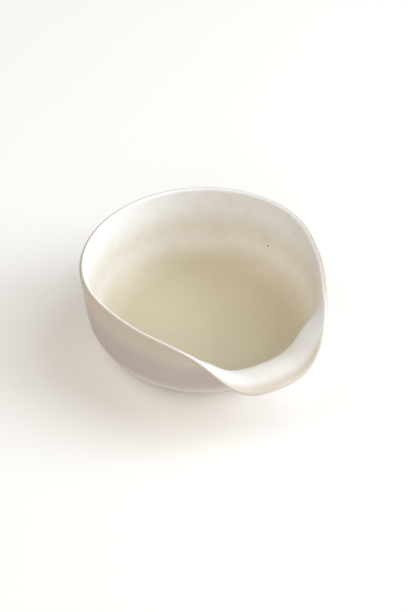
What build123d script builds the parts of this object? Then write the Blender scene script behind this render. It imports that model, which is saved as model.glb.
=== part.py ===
"""Round flat-bottomed evaporating dish with a pulled spout.

One fired porcelain body carries two fused coats of glaze: one lines the inside and
rolls over to the middle of the rim, the other covers the outside from there down to
the glaze line just above the bare foot. Each coat is a solid of its own.

Millimetres. The origin is the centre of the flat foot, +Z points up and the spout
points along +X. The dish is symmetric about the XZ plane.
"""

from build123d import *
from math import acos, cos, degrees, exp, radians, sin, tan
import os

# Overall sizes
outside_diameter = 90.0  # across the round part of the rim
height = 32.4  # foot to the top of the rim
wall = 2.1  # thickness over both coats of glaze
foot_diameter = 54.6  # the flat that the dish stands on
wall_flare = 6.0  # degrees that the upper wall leans outward
round_height = 15.5  # up to here the wall is the same all round

# Spout: the rim is pulled outward and rolled down into a lip
spout_reach = 11.0  # beyond the round rim
spout_drop = 13.4  # the lip's edge, below the round rim
spout_half_angle = 34.7  # degrees either side of the spout's middle
spout_squareness = 3.2  # how suddenly the spout leaves the round rim
lip_half_angle = 22.9  # degrees either side where the lip is low
lip_squareness = 4.0
lip_curl = 97.7  # degrees that the lip rolls outward from the wall
curl_half_angle = 31.2  # degrees either side where the wall rolls outward
curl_squareness = 3.4

# Flanks: the hands that pull the spout press the rim in beside it
flank_azimuth = 74.1  # degrees from the spout's middle
flank_half_angle = 24.9
flank_depth = 2.4  # inward of the round rim
flank_drop = 0.2  # below the round rim
flank_lean = 9.6  # degrees that the rim turns inward

# How far the shaped wall keeps its direction from either end, as shares of its span
lower_pull = 0.2
upper_pull = 0.7

# Glaze
glaze = 0.25  # thickness of each coat
glaze_line_angle = 14.0  # degrees round the lower corner where the outside coat stops

# Values that follow from the sizes above
foot_radius = foot_diameter / 2
half_wall = wall / 2
rim_radius = outside_diameter / 2 - half_wall
rim_height = height - half_wall
flare = radians(wall_flare)
corner_radius = (rim_radius - foot_radius - (rim_height - half_wall) * tan(flare)) / (
    cos(flare) - (1 - sin(flare)) * tan(flare)
)
round_angle = degrees(acos(1 - (round_height - half_wall) / corner_radius))

# The sections stand round one half, from the spout to the back, closer together round
# the spout. The close pairs at both ends make the wall cross the plane of symmetry at
# a right angle.
front_step = 5
front_end = 60
back_step = 12
end_step = 0.5
front = list(range(front_step, front_end, front_step))
back = list(range(front_end, 180, back_step))
azimuths = [0, end_step] + front + back + [180 - end_step, 180]


def bell(angle, half_angle, squareness):
    """1 in the middle, falling to nothing past the half angle."""
    return exp(-((abs(angle) / half_angle) ** squareness))


def rim(azimuth):
    """Radius, height and direction in degrees of the middle of the wall at the rim."""
    spout = bell(azimuth, spout_half_angle, spout_squareness)
    lip = bell(azimuth, lip_half_angle, lip_squareness)
    curl = bell(azimuth, curl_half_angle, curl_squareness)
    flank = bell(abs(azimuth) - flank_azimuth, flank_half_angle, 2)
    radius = rim_radius + spout_reach * spout - flank_depth * flank
    level = rim_height - flank_drop * flank - spout_drop * lip
    direction = 90 - wall_flare + flank_lean * flank - lip_curl * curl
    return radius, level, direction


def along(angle, length):
    """A step in the section plane."""
    return Vector(cos(radians(angle)) * length, sin(radians(angle)) * length)


def flat(point):
    """A point as the local X and Y of the section plane."""
    return (point.X, point.Y)


def wall_curve(azimuth, offset):
    """Control points of the shaped wall, offset outward from the middle of its thickness."""
    radius, level, direction = rim(azimuth)
    corner = Vector(foot_radius, half_wall + corner_radius)
    start = corner + along(round_angle - 90, corner_radius + offset)
    end = Vector(radius, level) + along(direction - 90, offset)
    span = (end - start).length
    climb = start + along(round_angle, lower_pull * span)
    turn = end - along(direction, upper_pull * span)
    return [flat(start), flat(climb), flat(turn), flat(end)]


def section_plane(azimuth):
    """The upright plane through the axis: local X runs outward and local Y up."""
    outward = Vector(cos(radians(azimuth)), sin(radians(azimuth)), 0)
    return Plane(origin=(0, 0, 0), x_dir=outward, z_dir=outward.cross(Vector(0, 0, 1)))


def section(azimuth, half_thickness, bare_foot):
    """Wire from the lower corner up the outside, over the rim and down to the floor.

    With a bare foot it begins at the foot's edge, otherwise at the glaze line.
    """
    radius, level, direction = rim(azimuth)
    corner = (foot_radius, half_wall + corner_radius)
    outer_corner = corner_radius + half_thickness
    inner_corner = corner_radius - half_thickness
    outside = wall_curve(azimuth, half_thickness)
    inside = wall_curve(azimuth, -half_thickness)
    with BuildLine(section_plane(azimuth)):
        bare = CenterArc(corner, outer_corner, -90, glaze_line_angle)
        glazed = [
            CenterArc(corner, outer_corner, glaze_line_angle - 90, round_angle - glaze_line_angle),
            Bezier(*outside),
            CenterArc((radius, level), half_thickness, direction - 90, 90),
            CenterArc((radius, level), half_thickness, direction, 90),
            Bezier(*inside[::-1]),
            CenterArc(corner, inner_corner, round_angle - 90, -round_angle),
        ]
    return Wire([bare] + glazed if bare_foot else glazed)


def skin(half_thickness, bare_foot):
    """The faces of half a skin, in order from the foot to the floor."""
    wires = [section(azimuth, half_thickness, bare_foot) for azimuth in azimuths]
    return Shell.make_loft(wires).faces()


def ring(lower_face, upper_face):
    """The edge that runs half round the dish between two faces of a skin."""
    shared = [edge for edge in lower_face.edges() if edge in upper_face.edges()]
    return shared[0]


def end_ring(end_face):
    """The lowest ring of a face, level all round."""
    return end_face.edges().filter_by(Plane.XY).sort_by(Axis.Z)[0]


def half_disc(half_ring):
    """Half of the flat round face inside a level ring."""
    return Face(Wire([half_ring, Edge.make_line(half_ring @ 1, half_ring @ 0)]))


def ribbon(first_ring, second_ring):
    """The narrow face between two half rings."""
    if (first_ring @ 0 - second_ring @ 0).length > (first_ring @ 0 - second_ring @ 1).length:
        second_ring = second_ring.reversed()
    return Face.make_surface_from_curves(first_ring, second_ring)


def closed_solid(half_faces):
    """The solid inside the faces of one half and their mirror images."""
    return Solid(Shell(half_faces + [face.mirror(Plane.XZ) for face in half_faces]))


# Skins: the finished surface of the dish, and the surface of the porcelain under the glaze
bare_foot, lower_coat, outer_coat, outer_rim, inner_rim, inner_coat, floor_coat = skin(
    half_wall, bare_foot=True
)
lower_core, outer_core, outer_core_rim, inner_core_rim, inner_core, floor_core = skin(
    half_wall - glaze, bare_foot=False
)

# Narrow faces across the glaze, at the glaze line and along the middle of the rim
glaze_line = ribbon(ring(bare_foot, lower_coat), end_ring(lower_core))
coat_joint = ribbon(ring(outer_rim, inner_rim), ring(outer_core_rim, inner_core_rim))

# Flat faces
foot_flat = half_disc(end_ring(bare_foot))
floor_flat = half_disc(end_ring(floor_coat))
core_floor_flat = half_disc(end_ring(floor_core))

with BuildPart() as porcelain_body:
    core_skin = [lower_core, outer_core, outer_core_rim, inner_core_rim, inner_core, floor_core]
    add(closed_solid([foot_flat, bare_foot, glaze_line, core_floor_flat] + core_skin))

with BuildPart() as inside_glaze:
    wet_side = [inner_rim, inner_coat, floor_coat, floor_flat]
    bonded_side = [inner_core_rim, inner_core, floor_core, core_floor_flat]
    add(closed_solid(wet_side + [coat_joint] + bonded_side))

with BuildPart() as outside_glaze:
    open_side = [lower_coat, outer_coat, outer_rim]
    backed_side = [lower_core, outer_core, outer_core_rim]
    add(closed_solid(open_side + [coat_joint, glaze_line] + backed_side))

porcelain_body.part.label = "porcelain_body"
inside_glaze.part.label = "inside_glaze"
outside_glaze.part.label = "outside_glaze"

os.makedirs("parts", exist_ok=True)
export_step(porcelain_body.part, "parts/porcelain_body.step")
export_step(inside_glaze.part, "parts/inside_glaze.step")
export_step(outside_glaze.part, "parts/outside_glaze.step")
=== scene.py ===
"""Evaporating dish: glazed porcelain, flat bare foot, one pulled spout.

Metres. The origin is the centre of the foot, +Z is up and the spout points along +X.
"""

from math import acos, atan2, cos, degrees, exp, pi, radians, sin, tan

import bmesh
import bpy
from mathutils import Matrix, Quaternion, Vector


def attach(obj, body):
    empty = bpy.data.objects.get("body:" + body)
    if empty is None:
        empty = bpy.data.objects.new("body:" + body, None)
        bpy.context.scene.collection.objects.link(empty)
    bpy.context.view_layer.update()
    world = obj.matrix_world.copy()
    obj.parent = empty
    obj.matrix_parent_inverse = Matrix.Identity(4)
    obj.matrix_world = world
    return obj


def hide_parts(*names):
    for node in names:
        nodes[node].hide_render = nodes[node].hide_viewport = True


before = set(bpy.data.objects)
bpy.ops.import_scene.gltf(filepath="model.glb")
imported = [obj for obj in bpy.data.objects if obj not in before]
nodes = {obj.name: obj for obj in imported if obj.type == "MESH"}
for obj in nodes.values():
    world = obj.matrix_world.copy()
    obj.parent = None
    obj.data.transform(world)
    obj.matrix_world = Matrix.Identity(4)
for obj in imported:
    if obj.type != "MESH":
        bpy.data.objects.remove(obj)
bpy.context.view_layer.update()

MM = 0.001


# ---------------------------------------------------------------- measures

# The dish's measures, in millimetres and degrees, as its drawing gives them
OUTSIDE_DIAMETER = 90.0
HEIGHT = 32.4
WALL = 2.1
GLAZE = 0.25
FOOT_RADIUS = 27.3
WALL_FLARE = 6.0
ROUND_HEIGHT = 15.5
GLAZE_LINE = 14.0
LOWER_PULL = 0.20
UPPER_PULL = 0.70
SPOUT = {"reach": 11.0, "half_angle": 34.7, "squareness": 3.2}
LIP = {"drop": 13.4, "half_angle": 22.9, "squareness": 4.0}
CURL = {"turn": 97.7, "half_angle": 31.2, "squareness": 3.4}
FLANK = {"azimuth": 74.1, "half_angle": 24.9, "depth": 2.4, "drop": 0.2, "lean": 9.6}

# What follows from them
HALF_WALL = WALL / 2
RIM_RADIUS = OUTSIDE_DIAMETER / 2 - HALF_WALL
RIM_HEIGHT = HEIGHT - HALF_WALL
CORNER_RADIUS = (
    RIM_RADIUS - FOOT_RADIUS - (RIM_HEIGHT - HALF_WALL) * tan(radians(WALL_FLARE))
) / (cos(radians(WALL_FLARE)) - (1 - sin(radians(WALL_FLARE))) * tan(radians(WALL_FLARE)))
ROUND_ANGLE = degrees(acos(1 - (ROUND_HEIGHT - HALF_WALL) / CORNER_RADIUS))
CORNER = Vector((FOOT_RADIUS, HALF_WALL + CORNER_RADIUS))

# The rings that the coats are drawn from
AROUND = 144  # points in each ring
FLOOR_RADII = (0.3, 1.5, 4.0, 8.0, 13.0, 18.0, 23.0)
CORNER_RINGS = 10
WALL_RINGS = 20
RIM_STEPS = 8  # from the outside or the inside of the round edge to its top
CORNER_SHARES = (0.0, 0.02, 0.05, 0.1, 0.18, 0.3, 0.45, 0.6, 0.75, 0.88)
BEAD = 0.10  # how far the outside coat swells above its lower edge
BEAD_TOP = 0.18  # the share of the corner where the swelling ends
SMOOTH_BELOW = 50  # degrees

# Places on the glaze
LIP_EDGE = (51.0, 54.5)  # distances from the axis between which the lip turns tan: partly thinner glaze at the edge, partly painted shade on its rounding
IRON_SPECK = (-0.01736, 0.03687, 0.01281)  # metres
SPECK_RADII = (0.25, 0.45)  # its dark middle, and where it has faded out
FOOT_WEAR = 5.0  # how far the wear reaches in from the foot's edge

# The studio, in metres, watts and degrees
LIGHT_SIZE = 0.9
LIGHT_DISTANCE = 1.3
LIGHT_TARGET = (0, 0, 0.015)
FLOOR_SIZE = 8.0
FLOOR_DROP = 0.1  # millimetres below the foot, so that the two don't share a plane
LENS = 84.3
SENSOR_WIDTH = 36.0
LENS_SHIFT = (-0.0008, 0.0362)


# ---------------------------------------------------------------- finishes


class Value:
    """A socket of a finish. Arithmetic on it adds Math nodes."""

    def __init__(self, finish, socket):
        self.finish = finish
        self.socket = socket

    def math(self, operation, *terms):
        return self.finish.node("ShaderNodeMath", {"operation": operation}, dict(enumerate(terms)))

    def __add__(self, other):
        return self.math("ADD", self, other)

    def __sub__(self, other):
        return self.math("SUBTRACT", self, other)

    def __rsub__(self, other):
        return self.math("SUBTRACT", other, self)

    def __mul__(self, other):
        return self.math("MULTIPLY", self, other)

    __radd__ = __add__
    __rmul__ = __mul__


class Finish:
    """A material, and the nodes that make its colour, gloss and relief."""

    def __init__(self, name):
        self.material = bpy.data.materials.new(name)
        self.material.use_nodes = True
        self.tree = self.material.node_tree
        self.tree.nodes.clear()

    def node(self, kind, settings, sockets, output=0):
        made = self.tree.nodes.new(kind)
        for name, value in settings.items():
            setattr(made, name, value)
        for name, value in sockets.items():
            if isinstance(value, Value):
                self.tree.links.new(value.socket, made.inputs[name])
            else:
                made.inputs[name].default_value = value
        return Value(self, made.outputs[output]) if len(made.outputs) else made

    def place(self):
        """Where a point of the piece is, in metres."""
        return self.node("ShaderNodeTexCoord", {}, {}, "Object")

    def parts(self, vector):
        """A vector's X, Y and Z."""
        split = self.node("ShaderNodeSeparateXYZ", {}, {0: vector}).socket.node
        return [Value(self, socket) for socket in split.outputs]

    def spread(self, value, low, high, from_value=0.0, to_value=1.0):
        """A smooth change from one value to the other as the input goes from low to high."""
        return self.node(
            "ShaderNodeMapRange",
            {"interpolation_type": "SMOOTHSTEP"},
            {0: value, 1: low, 2: high, 3: from_value, 4: to_value},
        )

    def noise(self, place, scale, detail=2.0, roughness=0.5):
        """Noise whose grain is one metre over the scale."""
        return self.node(
            "ShaderNodeTexNoise",
            {},
            {"Vector": place, "Scale": scale, "Detail": detail, "Roughness": roughness},
        )

    def vector(self, operation, first, second=None, output=0):
        """Vector Math. Lengths and distances leave by output 1."""
        terms = {0: first} if second is None else {0: first, 1: second}
        return self.node("ShaderNodeVectorMath", {"operation": operation}, terms, output)

    def relief(self, height, strength, depth):
        """A bump as deep as given, in millimetres."""
        return self.node(
            "ShaderNodeBump", {}, {"Strength": strength, "Distance": depth * MM, "Height": height}
        )

    def blend(self, share, first, second):
        """From the first colour to the second as the share goes from 0 to 1."""
        return self.node(
            "ShaderNodeMix",
            {"data_type": "RGBA", "clamp_factor": True},
            {0: share, 6: first, 7: second},
            2,
        )

    def surface(self, base, roughness, normal, **fixed):
        """Ends the material. Fixed sockets are given by name, with underscores for spaces."""
        sockets = {"Base Color": base, "Roughness": roughness, "Normal": normal}
        sockets.update({name.replace("_", " "): value for name, value in fixed.items()})
        shader = self.node("ShaderNodeBsdfPrincipled", {}, sockets)
        self.node("ShaderNodeOutputMaterial", {}, {"Surface": shader})
        return self.material


def colour(red, green, blue):
    """A colour from its 0-255 display values."""
    def linear(value):
        value /= 255
        return value / 12.92 if value <= 0.04045 else ((value + 0.055) / 1.055) ** 2.4
    return (linear(red), linear(green), linear(blue), 1.0)


def glaze_and_painted_shade_finish(name, low, middle, high, levels, iron_speck=None):
    """Satin porcelain glaze whose colour changes with height: partly as it pooled, partly as
    painted light and shade on the walls.

    The levels, in millimetres, are where the low colour ends, where the middle one holds
    from and to, and where the high one begins.
    """
    finish = Finish(name)
    place = finish.place()
    height = finish.parts(place)[2]
    drift = finish.noise(place, 42.0, 2.0) - 0.5
    wavy_height = height + drift * (4 * MM)
    low_end, middle_from, middle_to, high_from = (level * MM for level in levels)
    # These height bands stand partly for pooled glaze and partly for painted light and shade on
    # the walls.
    base = finish.blend(finish.spread(wavy_height, low_end, middle_from), low, middle)
    base = finish.blend(finish.spread(wavy_height, middle_to, high_from), base, high)
    axis_distance = finish.vector(
        "LENGTH", finish.vector("MULTIPLY", place, (1.0, 1.0, 0.0)), output=1
    )
    # The tan at the lip's rounded edge is partly thinner glaze and partly painted shade.
    lip_start, lip_end = (distance * MM for distance in LIP_EDGE)
    lip_thin_glaze_and_shade = finish.spread(axis_distance, lip_start, lip_end)
    base = finish.blend(lip_thin_glaze_and_shade * 0.85, base, colour(205, 193, 176))
    cloud = finish.spread(finish.noise(place, 240.0, 4.0), 0.4, 0.75)
    base = finish.blend(cloud * 0.10, base, colour(188, 172, 142))
    cells = finish.node(
        "ShaderNodeTexVoronoi", {"feature": "F1"}, {"Vector": place, "Scale": 300.0}
    )
    rare = finish.spread(finish.noise(place, 150.0, 0.0), 0.64, 0.68)
    pinholes = finish.spread(cells, 0.05, 0.1, 1.0, 0.0) * rare
    base = finish.blend(pinholes * 0.3, base, colour(150, 132, 108))
    if iron_speck:
        away = finish.vector("DISTANCE", place, iron_speck, output=1)
        dark_to, faded_at = (radius * MM for radius in SPECK_RADII)
        speck = finish.spread(away, dark_to, faded_at, 0.85, 0.0)
        base = finish.blend(speck, base, colour(84, 66, 52))
    skin = finish.noise(place, 1100.0, 1.0)
    flow = finish.noise(place, 150.0, 2.0)
    bump = finish.relief(skin * 0.25 + flow - pinholes * 0.6, strength=0.5, depth=0.02)
    gloss = finish.spread(finish.noise(place, 180.0, 3.0), 0.3, 0.7, 0.32, 0.42)
    return finish.surface(base, gloss, bump, IOR=1.5, Specular_IOR_Level=0.35)


def biscuit_finish(name):
    """Bare fired porcelain: matt, finely grained, with the faint grey wear of a bench."""
    finish = Finish(name)
    place = finish.place()
    grain = finish.noise(place, 2600.0, 3.0)
    cloud = finish.noise(place, 90.0, 4.0)
    clouded = finish.spread(cloud, 0.35, 0.7)
    base = finish.blend(clouded, colour(236, 231, 221), colour(222, 214, 200))
    scuff = finish.noise(place, 500.0, 5.0, 0.7)
    middle_distance = finish.vector("LENGTH", place, output=1)
    edge = finish.spread(middle_distance, (FOOT_RADIUS - FOOT_WEAR) * MM, FOOT_RADIUS * MM)
    worn = edge * finish.spread(scuff, 0.45, 0.65)
    base = finish.blend(worn * 0.45, base, colour(168, 160, 150))
    bump = finish.relief(grain, strength=0.35, depth=0.1)
    return finish.surface(base, finish.spread(grain, 0.3, 0.7, 0.72, 0.86), bump)


def give(piece, material):
    piece.data.materials.clear()
    piece.data.materials.append(material)


# ---------------------------------------------------------------- shape of the dish


def bell(angle, half_angle, squareness):
    """1 in the middle, falling to nothing past the half angle."""
    return exp(-((abs(angle) / half_angle) ** squareness))


def step(angle, length):
    """A step in the plane of one section: outward, and up."""
    return Vector((cos(radians(angle)), sin(radians(angle)))) * length


def rim(azimuth):
    """The middle of the wall at the rim, and its direction in degrees."""
    spout = bell(azimuth, SPOUT["half_angle"], SPOUT["squareness"])
    lip = bell(azimuth, LIP["half_angle"], LIP["squareness"])
    curl = bell(azimuth, CURL["half_angle"], CURL["squareness"])
    flank = bell(abs(azimuth) - FLANK["azimuth"], FLANK["half_angle"], 2)
    radius = RIM_RADIUS + SPOUT["reach"] * spout - FLANK["depth"] * flank
    level = RIM_HEIGHT - FLANK["drop"] * flank - LIP["drop"] * lip
    return Vector((radius, level)), 90 - WALL_FLARE + FLANK["lean"] * flank - CURL["turn"] * curl


def on_wall(azimuth, share, offset):
    """A point of the shaped wall, from the top of the round corner to the rim."""
    middle, direction = rim(azimuth)
    start = CORNER + step(ROUND_ANGLE - 90, CORNER_RADIUS + offset)
    end = middle + step(direction - 90, offset)
    span = (end - start).length
    climb = start + step(ROUND_ANGLE, LOWER_PULL * span)
    turn = end - step(direction, UPPER_PULL * span)
    rest = 1 - share
    return (
        start * rest**3 + climb * (3 * rest**2 * share) + turn * (3 * rest * share**2)
        + end * share**3
    )


def on_corner(angle, offset):
    """A point of the round lower corner: 0 degrees at the foot."""
    return CORNER + step(angle - 90, CORNER_RADIUS + offset)


def over_rim(azimuth, angle):
    """A point of the round edge: 0 degrees outside, 90 on top and 180 inside."""
    middle, direction = rim(azimuth)
    return middle + step(direction - 90 + angle, HALF_WALL)


def outside_rings():
    """One rule for each ring of the outside coat, from the glaze line up."""
    rings = []
    for share in CORNER_SHARES:
        angle = GLAZE_LINE + (ROUND_ANGLE - GLAZE_LINE) * share
        swell = BEAD * sin(pi * (share / BEAD_TOP)) if share < BEAD_TOP else 0.0
        rings.append(lambda azimuth, a=angle, s=swell: on_corner(a, HALF_WALL + s))
    for number in range(WALL_RINGS):
        rings.append(lambda azimuth, n=number: on_wall(azimuth, n / WALL_RINGS, HALF_WALL))
    for number in range(RIM_STEPS + 1):
        rings.append(lambda azimuth, n=number: over_rim(azimuth, 90 * n / RIM_STEPS))
    return rings


def inside_rings():
    """One rule for each ring of the inside coat, from the floor's middle up and over the rim."""
    rings = []
    for radius in FLOOR_RADII:
        rings.append(lambda azimuth, r=radius: Vector((r, WALL)))
    for number in range(CORNER_RINGS):
        rings.append(
            lambda azimuth, n=number: on_corner(ROUND_ANGLE * n / CORNER_RINGS, -HALF_WALL)
        )
    for number in range(WALL_RINGS):
        rings.append(lambda azimuth, n=number: on_wall(azimuth, n / WALL_RINGS, -HALF_WALL))
    for number in range(RIM_STEPS + 1):
        rings.append(lambda azimuth, n=number: over_rim(azimuth, 180 - 90 * n / RIM_STEPS))
    return rings


def place_ring(mesh, rule):
    """Puts the selected ring where its rule says, each point at its own azimuth."""
    shape = bmesh.from_edit_mesh(mesh)
    for vertex in shape.verts:
        if vertex.select:
            turn = atan2(vertex.co.y, vertex.co.x)
            radius, level = rule(degrees(turn))
            vertex.co = Vector((radius * cos(turn), radius * sin(turn), level)) * MM
    bmesh.update_edit_mesh(mesh)


def raise_coat(name, rings, closed_middle):
    """A coat of glaze, drawn up ring by ring from a circle and then given its thickness."""
    bpy.ops.object.select_all(action="DESELECT")
    bpy.ops.mesh.primitive_circle_add(
        vertices=AROUND,
        radius=FOOT_RADIUS * MM,
        fill_type="TRIFAN" if closed_middle else "NOTHING",
    )
    coat = bpy.context.object
    coat.name = name
    coat.data.name = name
    bpy.ops.object.mode_set(mode="EDIT")
    bpy.ops.mesh.select_mode(type="VERT")
    shape = bmesh.from_edit_mesh(coat.data)
    for vertex in shape.verts:
        middle = vertex.co.length < 1e-6
        vertex.select_set(not middle)
        if middle:
            vertex.co.z = WALL * MM
    shape.select_flush(False)
    place_ring(coat.data, rings[0])
    bpy.ops.mesh.select_mode(type="EDGE")
    shape = bmesh.from_edit_mesh(coat.data)
    for edge in shape.edges:
        edge.select_set(edge.is_boundary or edge.is_wire)
    bmesh.update_edit_mesh(coat.data)
    for rule in rings[1:]:
        bpy.ops.mesh.extrude_edges_move()
        place_ring(coat.data, rule)
    # The thickness is added behind the faces, so they have to face away from the porcelain:
    # the floor of the inside coat up, and the lower edge of the outside coat down
    bpy.ops.mesh.select_all(action="SELECT")
    bpy.ops.mesh.normals_make_consistent(inside=False)
    shape = bmesh.from_edit_mesh(coat.data)
    lowest = min(shape.faces, key=lambda face: face.calc_center_median().z)
    if (lowest.normal.z > 0) != closed_middle:
        bpy.ops.mesh.flip_normals()
    bpy.ops.object.mode_set(mode="OBJECT")
    refine = coat.modifiers.new("Refine", "SUBSURF")
    refine.levels = refine.render_levels = 1
    bpy.ops.object.modifier_apply(modifier=refine.name)
    thick = coat.modifiers.new("Coat", "SOLIDIFY")
    thick.thickness = GLAZE * MM
    thick.offset = -1.0
    thick.use_even_offset = True
    bpy.ops.object.modifier_apply(modifier=thick.name)
    bpy.ops.object.shade_smooth_by_angle(angle=radians(SMOOTH_BELOW))
    return coat


# The inside's yellower floor is partly pooled glaze and partly painted shade, and its whiter upper
# wall is partly painted light.
inside_coat = raise_coat("inside_glaze_coat", inside_rings(), closed_middle=True)
give(inside_coat, glaze_and_painted_shade_finish(
    "Ivory inside glaze with painted light and shade",
    low=colour(208, 197, 170),
    middle=colour(233, 228, 218),
    high=colour(242, 240, 238),
    levels=(3, 12, 16, 27),
    iron_speck=IRON_SPECK,
))
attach(inside_coat, "root")
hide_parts("inside_glaze")

# The outside's mauve middle and tan top are partly the glaze's tint and partly painted shade on
# the outer wall, and its paler bottom partly stands for painted light thrown up from the floor.
outside_coat = raise_coat("outside_glaze_coat", outside_rings(), closed_middle=False)
give(outside_coat, glaze_and_painted_shade_finish(
    "Outside glaze with painted shade",
    low=colour(242, 237, 232),
    middle=colour(192, 180, 174),
    high=colour(204, 191, 174),
    levels=(4, 14, 20, 27),
))
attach(outside_coat, "root")
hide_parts("outside_glaze")

give(nodes["porcelain_body"], biscuit_finish("Bare porcelain"))


# ---------------------------------------------------------------- floor, light and camera


def studio_floor():
    bpy.ops.object.select_all(action="DESELECT")
    bpy.ops.mesh.primitive_plane_add(size=FLOOR_SIZE, location=(0, 0, -FLOOR_DROP * MM))
    floor = bpy.context.object
    floor.name = "studio_floor"
    finish = Finish("Studio paper")
    place = finish.place()
    base = finish.blend(finish.noise(place, 3.0), colour(252, 250, 245), colour(250, 247, 242))
    bump = finish.relief(finish.noise(place, 900.0), strength=0.02, depth=0.1)
    floor.data.materials.append(finish.surface(base, 0.9, bump))


def direction(azimuth, elevation):
    """A unit vector away from the dish. Azimuth is counter-clockwise from the spout."""
    turn, lift = radians(azimuth), radians(elevation)
    return Vector((cos(lift) * cos(turn), cos(lift) * sin(turn), sin(lift)))


def soft_light(name, power, shade, azimuth, elevation):
    """A square area light that faces the dish."""
    data = bpy.data.lights.new(name, "AREA")
    data.shape = "SQUARE"
    data.size = LIGHT_SIZE
    data.energy = power
    data.color = shade
    lamp = bpy.data.objects.new(name, data)
    bpy.context.scene.collection.objects.link(lamp)
    target = Vector(LIGHT_TARGET)
    lamp.location = target + LIGHT_DISTANCE * direction(azimuth, elevation)
    lamp.rotation_mode = "QUATERNION"
    lamp.rotation_quaternion = (lamp.location - target).to_track_quat("Z", "Y")


def backdrop(shade, strength):
    world = bpy.data.worlds.new("Studio")
    bpy.context.scene.world = world
    world.use_nodes = True
    background = world.node_tree.nodes["Background"]
    background.inputs["Color"].default_value = shade
    background.inputs["Strength"].default_value = strength


def camera(azimuth, elevation, distance, roll):
    data = bpy.data.cameras.new("Camera")
    data.lens = LENS
    data.sensor_width = SENSOR_WIDTH
    data.shift_x, data.shift_y = LENS_SHIFT
    data.clip_start = 0.01
    data.clip_end = 20.0
    eye = bpy.data.objects.new("Camera", data)
    bpy.context.scene.collection.objects.link(eye)
    eye.location = distance * direction(azimuth, elevation)
    aim = eye.location.to_track_quat("Z", "Y")
    eye.rotation_mode = "QUATERNION"
    eye.rotation_quaternion = aim @ Quaternion((0, 0, 1), radians(roll))
    bpy.context.scene.camera = eye


camera(azimuth=-27.26, elevation=43.03, distance=0.5377, roll=-0.61)
studio_floor()
soft_light("Key low", 13.4, (0.86, 0.93, 1.0), azimuth=62.0, elevation=22.0)
soft_light("Key high", 6.4, (0.82, 0.90, 1.0), azimuth=85.0, elevation=50.0)
soft_light("Spout side", 1.5, (1.0, 0.90, 0.78), azimuth=15.0, elevation=35.0)
soft_light("Front", 4.5, (1.0, 0.97, 0.94), azimuth=-35.0, elevation=36.0)
soft_light("Fill", 4.2, (1.0, 0.93, 0.84), azimuth=-125.0, elevation=55.0)
backdrop((1.0, 0.99, 0.98, 1.0), 0.28)
bpy.context.scene.view_settings.view_transform = "Standard"
